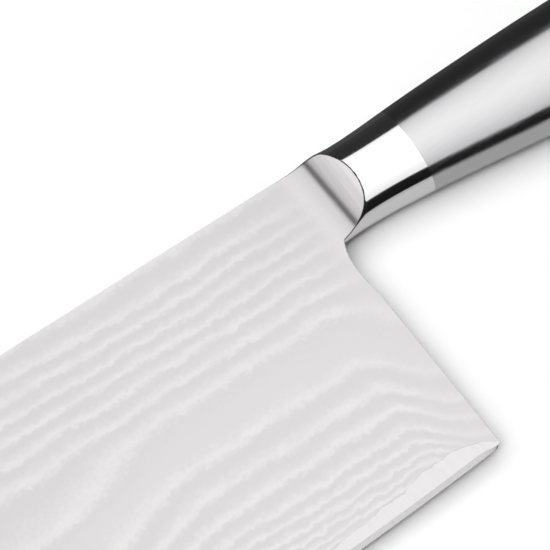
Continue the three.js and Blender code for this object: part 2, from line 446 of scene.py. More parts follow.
@dataclass(frozen=True)
class LayeredSteel(Finish):
    """Two steels forge-welded in many layers, ground flat and etched in acid.

    The acid bites the carbon steel to a dull grey and leaves the nickel steel bright, so layers that are
    ground through show as light, ragged lines, close together where the grind cuts them flat on and far apart
    where it runs along them. Spans named along are places behind the heel, spans named down below the spine.
    """

    dark_colour: str = "#b2b0b1"
    light_colour: str = "#bdbbbb"
    # Shares of a layer over which a bright line comes up and goes out again.
    rise: tuple = (0.45, 1.0)
    rise_power: float = 1.6
    fall: tuple = (0.0, 0.33)
    line_polish: float = 0.96
    # Half a layer, the number at the middle of the widest one, and how far from its lines plain steel shows.
    half_layer: float = 0.5
    wide_layer: float = 7.5
    halo: tuple = (0.2, 0.5)
    # Depths below the spine and the number of the layer there, near the heel and farther forward.
    depth_range: float = 84.0
    level_range: float = 21.0
    heel_levels: tuple = ((0, 0), (7, 1), (11, 2), (23.2, 5), (27.9, 6), (33.1, 7), (35.3, 7.25),
                          (44.5, 7.75), (46.6, 8), (54.1, 9), (60, 10), (65.2, 11), (68.8, 12), (74.2, 14),
                          (78, 16), (84, 20))
    front_levels: tuple = ((0, 0), (5.3, 1), (9.9, 2), (23.4, 5), (28.5, 6), (34, 6.5), (42, 7), (44, 7.25),
                           (52.5, 7.75), (55, 8), (61.5, 9), (67, 10), (72, 11.5), (77, 14), (84, 19))
    front_along: tuple = (-56.0, -92.0)
    # Size, reach and detail of the waves in a layer's depth, and of its ragged border in shares of a layer.
    waves: tuple = ((44.0, 3.0, 0.0), (12.0, 2.4, 1.0), (2.4, 2.0, 1.0))
    feathers: tuple = ((1.1, 0.4, 2.0),)
    # A large step in z gives the two faces of the blade different waves.
    face_step: float = 30.0
    # Towards the heel the layers bend down.
    bend_along: tuple = (-14.0, 4.0)
    bend_down: tuple = (24.0, 50.0)
    bend_drop: float = -12.5
    # The pattern fades out towards the bolster, but below the neck some of it goes on to the heel.
    fade_along: tuple = (-9.0, 2.0)
    neck_down: tuple = (24.0, 34.0)
    heel_strength: float = 0.65
    # The acid bites in patches.
    patch_size: float = 7.0
    patch_detail: float = 3.0
    patch_strength: tuple = (0.7, 1.15)
    # Painted shade: the light falls off near the neck, so the steel's colour is made a little darker there.
    painted_shade: float = 0.025
    painted_shade_along: tuple = (-36.0, -8.0)
    painted_shade_down: tuple = (32.0, 12.0)

    def numbered(self, tree: Tree, depth: Socket, levels: tuple) -> Socket:
        """Reads the number of the layer at a depth below the spine.

        Args:
            tree: The material's node tree.
            depth: The depth in millimetres.
            levels: Depths and the layer's number at each.

        Returns:
            The layer's number, with fractions between layers.
        """
        share = add(tree, "Math", {0: depth, 1: 1 / self.depth_range}, operation="MULTIPLY")
        curve = add(tree, "FloatCurve", {"Factor": 1.0, "Value": share})
        line = curve.node.mapping.curves[0]
        places = [(deep / self.depth_range, number / self.level_range) for deep, number in levels]
        while len(line.points) < len(places):
            line.points.new(*places[0])
        for point, place in zip(line.points, places):
            point.location = place
            point.handle_type = "AUTO_CLAMPED"
        curve.node.mapping.update()
        return add(tree, "Math", {0: curve, 1: self.level_range}, operation="MULTIPLY")

    def stirred(self, tree: Tree, value: Socket, spread: Socket, waves: tuple) -> Socket:
        """Adds waves to a value.

        Args:
            tree: The material's node tree.
            value: The value.
            spread: The place that the waves are read at.
            waves: Size, reach and detail of each set of waves.

        Returns:
            The value with its waves.
        """
        for size, reach, detail in waves:
            noise = add(tree, "TexNoise", {"Vector": spread, "Scale": 1 / size, "Detail": detail})
            centred = add(tree, "Math", {0: noise, 1: NOISE_MIDDLE}, operation="SUBTRACT")
            value = add(tree, "Math", {0: centred, 1: reach, 2: value}, operation="MULTIPLY_ADD")
        return value

    def layer(self, tree: Tree, x: Socket, depth: Socket, spread: Socket) -> Socket:
        """Finds the layer that the grind has reached.

        Args:
            tree: The material's node tree.
            x: Distance behind the heel.
            depth: Depth below the spine.
            spread: The place that noise is read at.

        Returns:
            The layer's number, with fractions between layers.
        """
        waved = self.stirred(tree, depth, spread, self.waves)
        drops = (0.0, self.bend_drop)
        drop = add(tree, "MapRange", {"Value": x, FROM: self.bend_along, TO: drops}, **SMOOTH)
        held = add(tree, "MapRange", {"Value": depth, FROM: self.bend_down}, **SMOOTH)
        waved = add(tree, "Math", {0: drop, 1: held, 2: waved}, operation="MULTIPLY_ADD")
        both = (self.heel_levels, self.front_levels)
        heel, front = (self.numbered(tree, waved, levels) for levels in both)
        forward = add(tree, "MapRange", {"Value": x, FROM: self.front_along}, **SMOOTH)
        number = add(tree, "Mix", {"A": heel, "B": front, "Factor": forward}, out="Result")
        return self.stirred(tree, number, spread, self.feathers)

    def bands(self, tree: Tree, layer: Socket) -> tuple:
        """Draws bright lines between layers, and bitten steel but for the middle of the widest layer.

        Args:
            tree: The material's node tree.
            layer: The layer's number.

        Returns:
            The strength of the lines and of the bite.
        """
        through = add(tree, "Math", {0: layer}, operation="FRACT")
        rise = add(tree, "MapRange", {"Value": through, FROM: self.rise})
        rise = add(tree, "Math", {0: rise, 1: self.rise_power}, operation="POWER")
        fall = add(tree, "MapRange", {"Value": through, FROM: self.fall, TO: (1.0, 0.0)}, **SMOOTH)
        lines = add(tree, "Math", {0: rise, 1: fall}, operation="MAXIMUM")
        off_line = add(tree, "Math", {0: layer, 1: self.half_layer}, operation="PINGPONG")
        plain = add(tree, "MapRange", {"Value": off_line, FROM: self.halo}, **SMOOTH)
        in_wide = add(tree, "Math", {0: layer, 1: self.wide_layer, 2: self.half_layer}, operation="COMPARE")
        plain = add(tree, "Math", {0: plain, 1: in_wide}, operation="MULTIPLY")
        return lines, add(tree, "Math", {0: 1.0, 1: plain}, operation="SUBTRACT")

    def shown(self, tree: Tree, x: Socket, depth: Socket, spread: Socket) -> Socket:
        """Gives how strongly the pattern shows.

        Args:
            tree: The material's node tree.
            x: Distance behind the heel.
            depth: Depth below the spine.
            spread: The place that noise is read at.

        Returns:
            The pattern's strength.
        """
        ahead = add(tree, "MapRange", {"Value": x, FROM: self.fade_along, TO: (1.0, 0.0)})
        strengths = (0.0, self.heel_strength)
        below = add(tree, "MapRange", {"Value": depth, FROM: self.neck_down, TO: strengths})
        reached = add(tree, "Math", {0: ahead, 1: below}, operation="MAXIMUM")
        patches = add(tree, "TexNoise", {"Vector": spread, "Scale": 1 / self.patch_size,
                                         "Detail": self.patch_detail})
        bite = add(tree, "MapRange", {"Value": patches, FROM: NOISE_SPAN, TO: self.patch_strength})
        return add(tree, "Math", {0: reached, 1: bite}, operation="MULTIPLY")

    def painted_neck_shade(self, tree: Tree, x: Socket, depth: Socket) -> Socket:
        """Gives the share of its colour that the steel keeps near the neck, as painted shade.

        Args:
            tree: The material's node tree.
            x: Distance behind the heel.
            depth: Depth below the spine.

        Returns:
            That share.
        """
        along = add(tree, "MapRange", {"Value": x, FROM: self.painted_shade_along}, **SMOOTH)
        down = add(tree, "MapRange", {"Value": depth, FROM: self.painted_shade_down}, **SMOOTH)
        near = add(tree, "Math", {0: along, 1: down}, operation="MULTIPLY")
        return add(tree, "MapRange", {"Value": near, TO: (1.0, 1 - self.painted_shade)})

    def sockets(self, tree: Tree, place: Socket) -> dict:
        """Draws the layers as height lines of a warped field.

        Args:
            tree: The material's node tree.
            place: The shaded point in knife millimetres.

        Returns:
            The shader's inputs by name.
        """
        spread = add(tree, "VectorMath", {0: place, 1: (1.0, 1.0, self.face_step)}, operation="MULTIPLY")
        x, y, _ = add(tree, "SeparateXYZ", {0: place}).node.outputs
        depth = add(tree, "Math", {0: y, 1: -1.0}, operation="MULTIPLY")
        shown = self.shown(tree, x, depth, spread)
        bands = self.bands(tree, self.layer(tree, x, depth, spread))
        lines, bitten = (add(tree, "Math", {0: band, 1: shown}, operation="MULTIPLY") for band in bands)
        plain, dark, light = (linear(tone) for tone in (self.colour, self.dark_colour, self.light_colour))
        colour = add(tree, "Mix", {"A": plain, "B": dark, "Factor": bitten}, **COLOURS)
        colour = add(tree, "Mix", {"A": colour, "B": light, "Factor": lines}, **COLOURS)
        # Painted shade: the colour is darkened near the neck.
        painted_shade = self.painted_neck_shade(tree, x, depth)
        colour = add(tree, "VectorMath", {0: colour, "Scale": painted_shade}, operation="SCALE")
        polish = (self.roughness, self.roughness * self.line_polish)
        return {"Base Color": colour, "Roughness": add(tree, "MapRange", {"Value": lines, TO: polish})}


@dataclass(frozen=True)
class HollowSteel(LayeredSteel):
    """Layered steel ground hollow on a wheel and rubbed smooth.

    It starts with the blade's own look, so that no border shows. Where the hollow turns up it gets smoother,
    and long wheel marks run down it. Spans that end in facing are of the x part of the surface's normal.
    """

    smooth_roughness: float = 0.18
    smooth_facing: tuple = (-0.02, -0.2)
    grain: float = 0.1
    marked_facing: tuple = (-0.3, -0.5)
    mark_size: tuple = (1.3, 30.0, 30.0)
    mark_detail: float = 2.0
    mark_span: tuple = (0.35, 0.65)
    mark_strength: tuple = (0.35, 1.0)
    mark_colour: str = "#c1bfc0"

    def sockets(self, tree: Tree, place: Socket) -> dict:
        """Blends the blade's look into the wheel-marked hollow by how far the face is tilted.

        Args:
            tree: The material's node tree.
            place: The shaded point in knife millimetres.

        Returns:
            The shader's inputs by name.
        """
        etched = super().sockets(tree, place)
        facing = add(tree, "SeparateXYZ", {0: add(tree, "NewGeometry", {}, out="Normal")}, out="X")
        smooth, marked = (add(tree, "MapRange", {"Value": facing, FROM: span}, **SMOOTH)
                          for span in (self.smooth_facing, self.marked_facing))
        marks = self.grains(tree, place, self.mark_size, self.mark_detail)
        marks = add(tree, "MapRange", {"Value": marks, FROM: self.mark_span, TO: self.mark_strength})
        marks = add(tree, "Math", {0: marks, 1: marked}, operation="MULTIPLY")
        wheel = linear(self.mark_colour)
        colour = add(tree, "Mix", {"A": etched["Base Color"], "B": wheel, "Factor": marks}, **COLOURS)
        # The wheel rubs the etched grain smooth spot by spot. Grain is about 0.03 mm and is drawn coarser.
        spots = add(tree, "VectorMath", {0: place, 1: (self.grain,) * 3}, operation="SNAP")
        chance = add(tree, "TexWhiteNoise", {"Vector": spots})
        rubbed = add(tree, "Math", {0: smooth, 1: chance}, operation="GREATER_THAN")
        rough = add(tree, "Mix", {"A": etched["Roughness"], "B": self.smooth_roughness, "Factor": rubbed},
                    out="Result")
        return {"Base Color": colour, "Roughness": rough}


@dataclass
class SubAssembly:
    """Pieces of the knife that are made together."""

    knife: KnifeFrame
    pieces: list = field(default_factory=list, init=False)

    def keep(self, skin: Skin, name: str, node: str, slot: str, materials: list) -> None:
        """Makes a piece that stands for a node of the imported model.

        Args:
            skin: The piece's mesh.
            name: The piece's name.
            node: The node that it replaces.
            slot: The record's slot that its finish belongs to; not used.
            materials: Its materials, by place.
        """
        piece = skin.make(name, self.knife, materials)
        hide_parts(node)
        self.pieces.append(piece)


@dataclass
class HandleForm:
    """The oval template that bolster and handle follow: sections behind the heel, in millimetres."""

    stations: tuple = (2.2, 6.5, 13.5, 27.1, 50.1, 80.1, 108.1, 135.1)
    tops: tuple = (0.05, 0.36, 0.3, 0.9, 1.85, 2.25, 0.75, -2.4)
    heights: tuple = (21.1, 21.05, 21.05, 22.75, 26.55, 29.5, 28.05, 28.6)
    thicknesses: tuple = (12.7, 14.6, 15.9, 16.8, 18.2, 19.6, 18.8, 18.6)
    neck: tuple = (2.2, 27.1)
    neck_fullness: float = 0.055
    dome_length: float = 9.0
    spigot_inset: float = 1.35

    def section(self, x: Array) -> tuple:
        """Gives the oval at each distance.

        Args:
            x: Distances behind the heel.

        Returns:
            Height of its middle, half its height and half its thickness.
        """
        stations = np.array(self.stations)
        top, height, thickness = (natural_spline(stations, np.array(values), x)
                                  for values in (self.tops, self.heights, self.thicknesses))
        dome_start = self.stations[-1] - self.dome_length
        into_dome = np.clip((x - dome_start) / self.dome_length, 0, 1)
        drawn_in = np.sqrt(1 - into_dome ** 2)
        return top - height / 2, height / 2 * drawn_in, thickness / 2 * drawn_in

    def fullness(self, x: Array) -> Array:
        """Gives how much fuller the oval is near its top than near its belly, fading out along the neck."""
        start, end = self.neck
        return self.neck_fullness * np.clip((end - x) / (end - start), 0, 1)

    def rings(self, x: Array, angles: Array, inset: float = 0.0) -> Array:
        """Gives points round the oval, row by row along the handle.

        Args:
            x: Distances behind the heel.
            angles: Angles round the oval, from the top line over the left side.
            inset: Depth below the skin.

        Returns:
            Points with one row for each distance.
        """
        middle, up, out = (value[:, None] for value in self.section(x))
        y = middle + (up - inset) * np.cos(angles)
        z = (out - inset) * np.sin(angles) * (1 + self.fullness(x)[:, None] * np.cos(angles))
        return np.stack(np.broadcast_arrays(x[:, None], y, z), axis=-1)

    def add_spigot(self, skin: Skin, ring: Array, ends: tuple, angles: Array) -> None:
        """Steps in from a piece's last ring and closes it with a spigot.

        Args:
            skin: The piece's mesh.
            ring: Point numbers of the ring.
            ends: Where the spigot starts and stops, behind the heel.
            angles: Angles of the ring's points.
        """
        shoulder = skin.add_points(self.rings(np.array(ends), angles, self.spigot_inset))
        skin.add_quads(np.vstack([ring, shoulder]), closed=True, smooth=False)
        skin.add_face(shoulder[-1])


@dataclass
class Blade(SubAssembly):
    """Tall blade: a hard core plate between two layered plates, ground thin towards the edge."""

    length: float = 178.0
    heel_height: float = 80.8
    heel_lean: float = math.radians(2)
    belly_radius: float = 1100.0
    belly_from_heel: float = 72.0
    spine_half: float = 1.1
    core_half: float = 0.3
    cladding_lip: float = 0.05
    bevel_height: float = 1.3
    bevel_taper: tuple = (-3.0, 3.0)
    bevel_left: float = 0.35
    bare_core_height: float = 3.3
    # Places along the edge and the height of the bare core there; size, period and start of its waves.
    bare_core: tuple = ((-178.0, 3.3), (-60.0, 2.6), (-41.0, 2.4), (-28.0, 3.3), (-22.0, 3.35), (-14.5, 4.6),
                        (-6.0, 4.0), (-0.4, 2.3), (2.8, 0.5))
    border_waves: tuple = ((0.16, 9.7, 0.4), (0.11, 3.9, 1.7), (0.06, 1.7, 2.9))
    toe_radius: float = 9.0
    tip_radius: float = 2.5
    heel_radius: float = 0.9
    sharp_heel_radius: float = 1.9
    # The choil leaves the heel, turns and ends under the bolster; the plates reach this share of it.
    choil_ends: tuple = ((1.257, -36.0), (-0.7, -25.5), (2.2, -21.05))
    choil_seam: float = 0.403
    skirt_start: float = -3.3
    skirt_low: float = -20.5
    edge_round: float = 0.03
    border_round: float = 0.008
    outline_pitch: float = 0.5
    corner_points: int = 15
    choil_points: int = 12
    round_rows: int = 6

    @property
    def belly_depth(self) -> float:
        """Lowest point of the edge below the spine."""
        half_span = self.belly_from_heel + self.heel_height * math.tan(self.heel_lean)
        return self.heel_height + self.belly_radius - math.sqrt(self.belly_radius ** 2 - half_span ** 2)

    def on_bevel(self, x: Array) -> Array:
        """Gives the lift of the bevel's upper border, which comes down towards the edge at the heel."""
        return self.bevel_height * (1 - (1 - self.bevel_left) * smooth_step(x, *self.bevel_taper))

    def on_cladding(self, x: Array) -> Array:
        """Gives the lift of the cladding's lower border, which wanders and comes down at the heel."""
        waves = (size * np.sin(2 * np.pi * x / period + start) for size, period, start in self.border_waves)
        return self.on_bevel(x) + np.interp(x, *zip(*self.bare_core)) + sum(waves)

    def edge_y(self, x: Array, lift: Array) -> Array:
        """Gives the height of the cutting edge, raised by lift, at x."""
        arc = np.sqrt((self.belly_radius - lift) ** 2 - (x + self.belly_from_heel) ** 2)
        return self.belly_radius - self.belly_depth - arc

    def heel_foot(self, lift: float) -> Array:
        """Finds where the heel line meets the edge's arc, raised by lift.

        Args:
            lift: Height above the cutting edge.

        Returns:
            The foot of the heel.
        """
        down = np.array([math.sin(self.heel_lean), -math.cos(self.heel_lean)])
        middle = np.array([-self.belly_from_heel, self.belly_radius - self.belly_depth])
        along = down @ middle
        return down * (along + math.sqrt(along ** 2 - middle @ middle + (self.belly_radius - lift) ** 2))

    def half_thickness(self, y: Array) -> Array:
        """Gives half the thickness of the flat-ground blade at a height below the spine."""
        ground = self.spine_half - self.core_half - self.cladding_lip
        return self.spine_half + ground * y / (self.belly_depth - self.bevel_height - self.bare_core_height)

    def choil(self, share: Array) -> Array:
        """Runs along the curve that leads the heel, at share 0, into the bolster, at share 1."""
        return turned_curve(*np.array(self.choil_ends), share)

    def rounded(self, before: Array, corner: Array, after: Array, radius: float) -> Array:
        """Rounds a corner between two points of the outline, from a radius before it to a radius after it."""
        start, end = (corner + (other - corner) / np.linalg.norm(other - corner) * radius
                      for other in (before, after))
        return turned_curve(start, corner, end, np.linspace(0, 1, self.corner_points))

    def outline(self, lift: Callable[[Array], Array], heel_radius: float) -> tuple:
        """Draws a plate's outline from the bolster along the spine, round the blade and up the heel.

        Args:
            lift: Gives the height of the lower border above the cutting edge at each x.
            heel_radius: How far from the heel's corner its round starts.

        Returns:
            The points, and for each whether it is on an eased outer edge.
        """
        ends = np.array([-self.length, self.heel_foot(0.0)[0]])
        toe = np.array([-self.length, 0.0])
        tip = np.array([-self.length, self.edge_y(ends, lift(ends))[0]])
        foot = self.heel_foot(lift(ends)[1])
        neck = np.array([self.skirt_start, 0.0])
        choil = self.choil(np.linspace(0, self.choil_seam, self.choil_points))
        edge_points = int(self.length / self.outline_pitch)
        edge_x = np.linspace(tip[0] + self.tip_radius, foot[0] - heel_radius, edge_points)
        border = np.stack([edge_x, self.edge_y(edge_x, lift(edge_x))], axis=-1)
        runs = [
            (neck[None], False),
            (neck[None] - (self.edge_round, 0.0), True),
            (self.rounded(neck, toe, tip, self.toe_radius), True),
            (self.rounded(toe, tip, border[0], self.tip_radius), True),
            (border, False),
            (self.rounded(border[-1], foot, choil[0], heel_radius), True),
            (choil[:-1], True),
            (choil[-1:], False),
            (np.array([[self.skirt_start, self.skirt_low]]), False),
        ]
        points = np.vstack([run for run, _ in runs])
        eased = np.concatenate([[mark] * len(run) for run, mark in runs])
        return points, eased

    def outwards(self, points: Array) -> Array:
        """Gives the normals of an outline in its plane.

        Args:
            points: The outline.

        Returns:
            Unit normals, pointing out.
        """
        along = np.roll(points, -1, axis=0) - np.roll(points, 1, axis=0)
        normals = np.stack([-along[:, 1], along[:, 0]], axis=-1)
        normals /= np.linalg.norm(normals, axis=-1, keepdims=True)
        return -normals if np.sum(normals * (points - points.mean(axis=0))) < 0 else normals

    def cladding(self, side: Side) -> Skin:
        """Shapes one layered plate, with its outer edges eased and its lower border wavy.

        Args:
            side: The face that it covers.

        Returns:
            The plate's mesh.
        """
        points, eased = self.outline(self.on_cladding, self.heel_radius)
        out = self.outwards(points)
        level = np.full(len(points), side.value)
        rows = [np.column_stack([points, self.core_half * level])]
        normals = [np.column_stack([out, 0 * level])]
        reach = np.where(eased, self.edge_round, self.border_round)
        for turn in np.linspace(0, math.pi / 2, self.round_rows):
            moved = points - out * (reach * (1 - math.cos(turn)))[:, None]
            height = self.half_thickness(points[:, 1]) - reach * (1 - math.sin(turn))
            rows.append(np.column_stack([moved, height * level]))
            normals.append(np.column_stack([out * math.cos(turn), math.sin(turn) * level]))
        skin = Skin()
        numbers = skin.add_points(np.array(rows), np.array(normals))
        skin.add_quads(numbers, closed=True)
        skin.add_face(numbers[0])
        skin.add_face(numbers[-1])
        return skin

    def core(self) -> Skin:
        """Shapes the hard core with its sharpened edge.

        Returns:
            The core's mesh, with the bevels in its second material place.
        """
        bevel_top, _ = self.outline(self.on_bevel, self.heel_radius)
        sharp, _ = self.outline(np.zeros_like, self.sharp_heel_radius)
        layers = ((bevel_top, self.core_half), (sharp, 0.0), (bevel_top, -self.core_half))
        skin = Skin()
        rows = [np.column_stack([line, np.full(len(line), z)]) for line, z in layers]
        numbers = skin.add_points(np.array(rows))
        skin.add_quads(numbers, closed=True, smooth=False, slots=np.ones(numbers.shape))
        skin.add_face(numbers[0])
        skin.add_face(numbers[-1])
        return skin

    def build(self, layered: Finish, ground: Finish, whetted: Finish) -> None:
        """Builds and dresses the blade.

        Args:
            layered: Finish of the layered plates.
            ground: Finish of the bare core.
            whetted: Finish of the sharpened bevel.
        """
        bare = [finish.material(self.knife) for finish in (ground, whetted)]
        self.keep(self.core(), "core_plate", "cutting_core", "core_steel", bare)
        etched = [layered.material(self.knife)]
        for side in Side:
            name, node = f"{side.word}_layered_plate", f"{side.word}_cladding"
            self.keep(self.cladding(side), name, node, "layered_steel", etched)


@dataclass
class Bolster(SubAssembly):
    """Solid collar at the neck, hollow-ground on both sides so that it runs out onto the blade."""

    form: HandleForm
    blade: Blade
    front: float = 2.2
    rear: float = 27.1
    spigot_rear: float = 41.1
    # The hollow is part of a cylinder. Lower down it starts farther back, and between two depths it runs out.
    scoop_radius: float = 18.2
    scoop_start: float = -3.0
    scoop_slant: float = 0.056
    scoop_end: float = 13.2
    run_out: tuple = (21.0, 28.5)
    slope_step: float = 0.01
    # Round of the crease between collar and hollow, and the wider round that it grows to near the top line.
    crease: float = 0.12
    top_ease: float = 1.2
    top_ease_full: float = 4.0
    top_band: tuple = (0.8, 0.97)
    # Reach of the crease, painted dark as shade, and how far it widens low on the collar as a painted
    # reflection.
    painted_crease_line: float = 0.16
    painted_low_line: float = 0.9
    painted_low_band: tuple = (0.62, 0.8, 0.82, 0.94)
    crown: float = 0.5
    crown_fade: tuple = (6.0, 12.0)
    fine_pitch: float = 0.12
    coarse_pitch: float = 0.7
    choil_points: int = 60
    sides: int = 320

    def hollow_height(self, x: Array, y: Array) -> Array:
        """Gives the height of the hollow over the blade's middle plane.

        Args:
            x: Distances behind the heel.
            y: Heights, 0 on the spine.

        Returns:
            Half the thickness there, rising from the blade's own.
        """
        down = np.clip(-y, 0, None)
        run = np.clip(x - self.scoop_start - self.scoop_slant * down, 0, self.scoop_radius)
        rise = self.scoop_radius - np.sqrt(self.scoop_radius ** 2 - run ** 2)
        return self.blade.half_thickness(-down) + rise * (1 - smooth_step(down, *self.run_out))

    def hollow_normals(self, x: Array, y: Array, sign: Array) -> Array:
        """Gives the normals of the hollow.

        Args:
            x: Distances behind the heel.
            y: Heights, 0 on the spine.
            sign: The side that each point is on.

        Returns:
            Unit normals, and none on the middle plane.
        """
        step = self.slope_step
        slope_x = self.hollow_height(x + step, y) - self.hollow_height(x - step, y)
        slope_y = self.hollow_height(x, y + step) - self.hollow_height(x, y - step)
        normals = np.stack(np.broadcast_arrays(-slope_x, -slope_y, 2 * step * sign), axis=-1)
        return normals / np.maximum(np.linalg.norm(normals, axis=-1, keepdims=True), TINY)

    def lines(self, x: Array) -> tuple:
        """Follows the collar's top and belly, and ahead of it the spine, the choil and the seam on the blade.

        Args:
            x: Distances behind the heel.

        Returns:
            Heights of the top and the belly, and whether each place is ahead of the choil.
        """
        middle, up, _ = self.form.section(x)
        blade = self.blade
        choil = blade.choil(np.linspace(blade.choil_seam, 1, self.choil_points))
        path_x, path_y = np.vstack([[blade.skirt_start, blade.skirt_low], choil]).T
        spine = np.interp(x, [blade.skirt_start, self.front], [0.0, self.form.tops[0]])
        on_skirt = x < self.front
        top = np.where(on_skirt, spine, middle + up)
        low = np.where(on_skirt, np.interp(x, path_x, path_y), middle - up)
        return top, low, x < choil[0, 0]

    def creased(self, cut: Array, angles: Array) -> Array:
        """Gives the finish of each place: 0 on the collar, 1 on the hollow, 2 on the crease painted dark as
        shade.

        Args:
            cut: How far the collar would stand over the hollow.
            angles: Angles round the collar.

        Returns:
            Material places.
        """
        # Painted shade in the crease, widened low on the collar into a painted dark reflection.
        below = -np.cos(angles)
        starts, full, fades, ends = self.painted_low_band
        painted_widening = self.painted_low_line * smooth_step(below, starts, full) * (1 - smooth_step(below, fades, ends))
        return np.where(cut > self.painted_crease_line, 1, np.where(cut > -self.painted_crease_line - painted_widening, 2, 0))

    def shape(self) -> Skin:
        """Shapes the collar: the oval body, cut by the hollow on both sides.

        Returns:
            The collar's mesh.
        """
        fine = np.arange(self.blade.skirt_start, self.scoop_end, self.fine_pitch)
        coarse = np.linspace(self.scoop_end, self.rear, int((self.rear - self.scoop_end) / self.coarse_pitch))
        stations = np.concatenate([fine, coarse])
        x = stations[:, None]
        angles = np.linspace(0, 2 * np.pi, self.sides, endpoint=False)
        up, aside = np.cos(angles), np.abs(np.sin(angles))
        sign = np.sign(np.sin(angles)) * (aside > TINY)
        out = self.form.section(stations)[2][:, None]
        fullness = self.form.fullness(stations)[:, None]
        top, low, ahead = (value[:, None] for value in self.lines(stations))
        y = (top + low) / 2 + (top - low) / 2 * up
        crown = self.crown * (1 - smooth_step(x, *self.crown_fade)) * np.clip(up, 0, 1) ** 2
        body = out * aside * (1 + fullness * up + crown)
        hollow = self.hollow_height(x, y)
        eased = np.interp(x, [self.blade.skirt_start, self.top_ease_full], [self.crease, self.top_ease])
        crease = self.crease + (eased - self.crease) * smooth_step(up, *self.top_band)
        on_blade = ahead & (up < 0) & (sign != 0)
        z = np.where(on_blade, hollow, soft_min(body, hollow, crease))
        grid = np.stack(np.broadcast_arrays(x, y, np.maximum(z, 0) * sign), axis=-1)
        normals = np.where(on_blade[..., None], self.hollow_normals(x, y, sign), grid_normals(grid))
        skin = Skin()
        numbers = skin.add_points(grid, normals)
        slots = np.where(on_blade, 1, self.creased(body - hollow, angles))
        skin.add_quads(numbers, closed=True, slots=slots)
        skin.add_even_cap(numbers[0], slot=1)
        self.form.add_spigot(skin, numbers[-1], (self.rear, self.spigot_rear), angles)
        return skin

    def build(self, mirror: Finish, hollow: Finish, crease: Finish) -> None:
        """Builds and dresses the bolster.

        Args:
            mirror: Finish of the collar.
            hollow: Finish of the hollow-ground faces.
            crease: Finish of the crease between them, a painted shade and, low down, a painted dark
                reflection.
        """
        materials = [finish.material(self.knife) for finish in (mirror, hollow, crease)]
        self.keep(self.shape(), "bolster_collar", "bolster", "polished_steel", materials)


@dataclass
class Handle(SubAssembly):
    """Hollow handle: two half shells welded and ground flush, closed by a solid rounded butt."""

    form: HandleForm
    front: float = 27.1
    cap_front: float = 114.1
    end: float = 135.1
    wall: float = 1.2
    joint_gap: float = 0.02
    spigot_front: float = 107.1
    pitch: float = 1.0
    dome_rows: int = 40
    sides: int = 192
    inner_nodes: tuple = ("tang_pin_front", "tang_pin_rear", "counterweight")

    def shell(self, side: Side) -> Skin:
        """Shapes one half shell.

        Args:
            side: The side of the knife that it covers.

        Returns:
            The half shell's mesh.
        """
        start, stop = self.front + self.joint_gap, self.cap_front - self.joint_gap
        x = np.linspace(start, stop, int((stop - start) / self.pitch))
        angles = side.value * np.linspace(0, 2 * np.pi, self.sides, endpoint=False)
        outer, inner = (self.form.rings(x, angles, inset) for inset in (0.0, self.wall))
        half = np.arange(self.sides // 2 + 1)
        normals = grid_normals(outer)[:, half]
        skin = Skin()
        outside = skin.add_points(outer[:, half], normals)
        inside = skin.add_points(inner[:, half], -normals)
        for face in (outside, inside):
            skin.add_quads(face, closed=False)
        wall = np.stack([outside, inside], axis=-1)
        for border in (wall[:, 0], wall[:, -1], wall[0], wall[-1]):
            skin.add_quads(border, closed=False, smooth=False)
        return skin

    def cap(self) -> Skin:
        """Shapes the rounded butt with its spigot.

        Returns:
            The butt's mesh.
        """
        dome_start = self.end - self.form.dome_length
        straight = np.linspace(self.cap_front, dome_start, int((dome_start - self.cap_front) / self.pitch))
        dome = dome_start + self.form.dome_length * np.sin(np.linspace(0, np.pi / 2, self.dome_rows)[1:-1])
        angles = np.linspace(0, 2 * np.pi, self.sides, endpoint=False)
        outer = self.form.rings(np.concatenate([straight, dome]), angles)
        skin = Skin()
        numbers = skin.add_points(outer, grid_normals(outer))
        skin.add_quads(numbers, closed=True)
        skin.add_face(numbers[-1])
        self.form.add_spigot(skin, numbers[0], (self.cap_front, self.spigot_front), angles)
        return skin

    def build(self, satin: Finish, turned: Finish) -> None:
        """Builds and dresses the handle and the pieces inside it.

        Args:
            satin: Finish of the shells and the butt.
            turned: Finish of the pins and the counterweight.
        """
        brushed = [satin.material(self.knife)]
        for side in Side:
            name, node = f"{side.word}_half_shell", f"{side.word}_handle_shell"
            self.keep(self.shell(side), name, node, "satin_steel", brushed)
        self.keep(self.cap(), "rounded_butt", "butt_cap", "satin_steel", brushed)
        plain = turned.material(self.knife)
        for node in self.inner_nodes:
            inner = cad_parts[node].data
            inner.materials.clear()
            inner.materials.append(plain)


class Seen(Enum):
    """Where a light works: as a reflection in the steel, or as light and shadow on the table."""

    IN_STEEL = "steel"
    ON_TABLE = "table"


